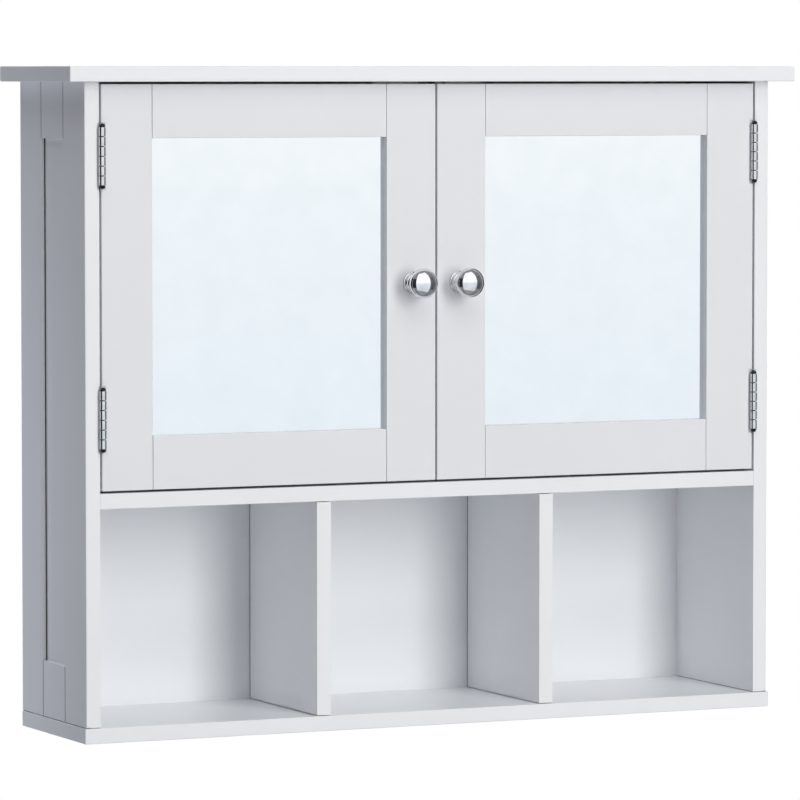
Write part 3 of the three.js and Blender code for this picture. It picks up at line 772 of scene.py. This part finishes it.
for word, side in SIDES:
    body = f"door_{word}"
    for part, finish, slot in (
        ("mirror", SILVERED_GLASS, "mirror_glass"),
        ("backing", HARDBOARD, "bare_board"),
    ):
        node = f"{body}_{part}"
        low, high = (np.array(c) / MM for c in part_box(node))
        sheet = eased_block(low, high, GLASS_EASE)
        new_piece(f"{node}_sheet", [sheet], finish, body, slot, node)
    points = []
    for x, z in spots:
        low = (side * x - POINT_HALF, POINT_DEPTH[0], z - POINT_HALF)
        high = (side * x + POINT_HALF, POINT_DEPTH[1], z + POINT_HALF)
        points.append(eased_block(low, high, POINT_EASE))
    new_piece(f"{body}_glazing_points", points, ZINC, body, "zinc_steel")

# ---- Knobs, their screws and the strike plates ----
# Cast knobs, polished and chrome plated: a round flange, a short neck and a
# domed head. A pan-head screw holds each from inside the door, and a small steel
# strike plate meets the magnet.
KNOB_X = 20.2
KNOB_Z = 90.25
DOOR_INSIDE = -120.0
HEAD_RADIUS = 11.9
HEAD_HEIGHT = 19.0
HEAD_DOME = 8.5
HEAD_BACK = 5.5
NECK_RADIUS = 4.6
PAN_RADIUS = 4.2
PAN_HEIGHT = 1.1
SHANK = ((0, 0), (2, 0), (2, 24.9), (0, 24.9))
STRIKE_SCREW_OFFSET = 11.0
STRIKE_SCREW = (2.4, 0.2, 0.5)
STRIKE_EASE = 0.25
CHROME_TONES = ("#DCDEE1", "#F0F1F3")
CHROME = polished_plate("bright_chrome_plate", CHROME_TONES, 0.008, 0.02)

neck_angle = math.asin(NECK_RADIUS / HEAD_RADIUS)
angle = np.linspace(neck_angle, np.pi, 56)
reach = np.where(np.cos(angle) > 0, HEAD_BACK, HEAD_DOME)
head = np.stack([HEAD_RADIUS * np.sin(angle), HEAD_HEIGHT - reach * np.cos(angle)], -1)
head[-1, 0] = 0
flange_corners = (
    (0, 0), (8.8, 0), (8.8, 1.1), (7.7, 1.9), (6.9, 3.5), (6.2, 3.8), (5.2, 5.8),
    (NECK_RADIUS, 7.6), (NECK_RADIUS, 9),
)
flange = eased_profile(flange_corners, 0.5, 6)
knob_profile = np.concatenate([flange, head])

for word, side in SIDES:
    body = f"door_{word}"
    knob = turned(knob_profile, (side * KNOB_X, FRONT_FACE, KNOB_Z), (0, -1, 0), 96)
    node = f"knob_{word}"
    plated = new_piece(f"{node}_plated", [knob], CHROME, body, "chrome", node, flat=False)
    plated.visible_glossy = False
    seat = (side * KNOB_X, DOOR_INSIDE + PAN_HEIGHT, KNOB_Z)
    screw = screw_head(seat, (0, 1, 0), PAN_RADIUS, PAN_HEIGHT, PAN_HEIGHT - 0.05)
    shank = turned(SHANK, (side * KNOB_X, DOOR_INSIDE, KNOB_Z), (0, -1, 0), 24)
    node = f"knob_screw_{word}"
    new_piece(f"{node}_pan_head", [screw, shank], ZINC, body, "zinc_steel", node)
    low, high = (np.array(c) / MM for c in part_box(f"strike_plate_{word}"))
    middle = (low + high) / 2
    strike = [eased_block(low, high, STRIKE_EASE)]
    for x in (middle[0] - STRIKE_SCREW_OFFSET, middle[0] + STRIKE_SCREW_OFFSET):
        strike.append(screw_head((x, high[1], middle[2]), (0, 1, 0), *STRIKE_SCREW))
    node = f"strike_plate_{word}"
    new_piece(f"{node}_screwed", strike, ZINC, body, "zinc_steel", node)

# ---- Studio ----
# A pale floor well below the hanging cabinet, a tall soft key in front and a little
# to the right, a canopy above it and low fills at the left and behind. Bright metal
# and glass see a white wall in front between two dark flags.
FLOOR_Z = -1.3
FLOOR_HALF = 3.0
WASH_Z = -0.5
FLOOR_CLOUD_MM = 400
FLOOR_LIGHT = "#E6E7EA"
FLOOR_SHADE = "#DEDFE3"


def pale_floor():
    """Smooth pale studio floor: matt, with a slight cloudiness."""
    finish, tree, place = new_finish("pale_studio_floor")
    clouds = put(tree, "TexNoise", lumps(place, FLOOR_CLOUD_MM, 3.0)).outputs["Fac"]
    colour = put(tree, "ValToRGB", {"Fac": clouds}, tones(FLOOR_SHADE, FLOOR_LIGHT))
    return surface(finish, tree, {
        "Base Color": colour.outputs["Color"],
        "Roughness": put(tree, "MapRange", spread(clouds, 0.6, 0.75)).outputs["Result"],
    })


floor_mesh = bpy.data.meshes.new("studio_floor")
quarters = ((-1, -1), (1, -1), (1, 1), (-1, 1))
corners = [(x * FLOOR_HALF, y * FLOOR_HALF, FLOOR_Z) for x, y in quarters]
floor_mesh.from_pydata(corners, [], [(0, 1, 2, 3)])
floor_mesh.materials.append(pale_floor())
floor = bpy.data.objects.new("studio_floor", floor_mesh)
bpy.context.scene.collection.objects.link(floor)
floor.visible_glossy = False

# Matt surfaces take only part of the room's light; the rest of theirs is the key's.
ROOM_FILL = 0.19

# Each stop is an azimuth in degrees, or the sine of an elevation, and a brightness.
ROUND_THE_HORIZON = (
    (-180, 0.2), (-112, 0.14), (-104, 0.03), (-54, 0.02), (-51, 1.0), (40, 1.0),
    (43, 0.16), (62, 0.1), (84, 0.2), (110, 0.5), (180, 0.5),
)
UP_AND_DOWN = (
    (-1.0, (0.3, 0.31, 0.33)), (-0.74, (0.32, 0.33, 0.35)), (-0.7, (0.74, 0.76, 0.8)),
    (-0.066, (0.9, 0.95, 0.99)),
    (-0.01, (1.01, 1.02, 1.04)), (0.12, (1.25, 1.26, 1.3)), (0.9, (1.25, 1.26, 1.3)),
    (0.95, (0.3, 0.3, 0.31)),
)
CEILING_AND_GROUND = (
    (-1.0, 0.2), (-0.5, 0.26), (-0.42, 0.0), (0.42, 0.0), (0.5, 0.24), (1.0, 0.3),
)
world = bpy.data.worlds.new("studio")
bpy.context.scene.world = world
world.use_nodes = True
tree = world.node_tree
tree.nodes.clear()
outward = put(tree, "SeparateXYZ", {0: put(tree, "TexCoord").outputs["Generated"]})
forward = put(tree, "Math", {0: outward.outputs["Y"], 1: -1.0}, operation="MULTIPLY")
azimuth = put(
    tree, "Math", {0: outward.outputs["X"], 1: forward.outputs[0]}, operation="ARCTAN2"
)


def sky_stops(levels, low, high):
    """Stops of a ramp from low to high: each brightness at its place between them."""
    grey = [(at, level if isinstance(level, tuple) else (level,) * 3) for at, level in levels]
    return [((at - low) / (high - low), (*colour, 1.0)) for at, colour in grey]


turn = {"Value": azimuth.outputs[0], "From Min": -math.pi, "From Max": math.pi}
turn_share = put(tree, "MapRange", turn).outputs["Result"]
climb = {"Value": outward.outputs["Z"], "From Min": -1, "From Max": 1}
climb_share = put(tree, "MapRange", climb).outputs["Result"]
belt = put(tree, "ValToRGB", {"Fac": turn_share}, sky_stops(ROUND_THE_HORIZON, -180, 180))
rise = put(tree, "ValToRGB", {"Fac": climb_share}, sky_stops(UP_AND_DOWN, -1, 1))
far = put(tree, "ValToRGB", {"Fac": climb_share}, sky_stops(CEILING_AND_GROUND, -1, 1))
around = put(
    tree, "Mix", {"Factor": 1.0, 6: belt.outputs[0], 7: rise.outputs[0]},
    data_type="RGBA", blend_type="MULTIPLY",
)
room = put(
    tree, "Mix", {"Factor": 1.0, 6: around.outputs[2], 7: far.outputs[0]},
    data_type="RGBA", blend_type="LIGHTEN",
)
paths = put(tree, "LightPath").outputs
share = {"Value": paths["Is Glossy Ray"], "To Min": ROOM_FILL, "To Max": 1.0}
strength = put(tree, "MapRange", share).outputs["Result"]
lit = put(tree, "Background", {"Color": room.outputs[2], "Strength": strength})
paper = put(tree, "Background", {"Color": (1, 1, 1, 1), "Strength": 1.0})
seen = put(
    tree, "MixShader", {0: paths["Is Camera Ray"], 1: lit.outputs[0], 2: paper.outputs[0]}
)
put(tree, "OutputWorld", {"Surface": seen.outputs[0]})


def soft_light(name, azimuth, elevation, distance, size, power, colour):
    """A rectangle of soft light that faces the cabinet from a direction, in degrees,
    with its distance and size in metres and its power in watts."""
    data = bpy.data.lights.new(name, "AREA")
    data.shape = "RECTANGLE"
    data.size, data.size_y = size
    data.energy = power
    data.color = linear(colour)[:3]
    lamp = bpy.data.objects.new(name, data)
    bpy.context.scene.collection.objects.link(lamp)
    a, e = math.radians(azimuth), math.radians(elevation)
    way = Vector((math.sin(a) * math.cos(e), -math.cos(a) * math.cos(e), math.sin(e)))
    lamp.location = way * distance
    lamp.rotation_mode = "QUATERNION"
    lamp.rotation_quaternion = way.to_track_quat("Z", "Y")
    lamp.visible_glossy = False
    lamp.visible_camera = False
    return lamp


soft_light("key", 12, 12, 4.0, (1.2, 2.8), 78, "#FFFEFC")
soft_light("canopy", -5, 48, 2.6, (2.0, 1.0), 12, "#FFFEFC")
soft_light("overhead", -75, 62, 2.0, (1.0, 1.0), 8, "#EFF3FF")
soft_light("rear_left", -110, -10, 0.65, (0.3, 0.6), 0.62, "#EFF3FF")
soft_light("behind", 180, 20, 3.0, (1.5, 1.5), 38, "#FFFFFF")
wash = soft_light("floor_wash", 0, 90, 0.0, (3.0, 3.0), 11, "#FFFFFF")
wash.location = (0, 0, WASH_Z)

bpy.context.scene.view_settings.view_transform = "Standard"

CAMERA_PLACE = (-1.83723, -3.97969, 0.25528)
CAMERA_AIM = (-0.00103, -0.070, -0.00617)
CAMERA_LENS = 243.685

camera_data = bpy.data.cameras.new("camera")
camera_data.lens = CAMERA_LENS
camera_data.sensor_width = 36
camera = bpy.data.objects.new("camera", camera_data)
bpy.context.scene.collection.objects.link(camera)
camera.location = CAMERA_PLACE
aim = Vector(CAMERA_AIM) - camera.location
camera.rotation_mode = "QUATERNION"
camera.rotation_quaternion = aim.to_track_quat("-Z", "Y")
bpy.context.scene.camera = camera
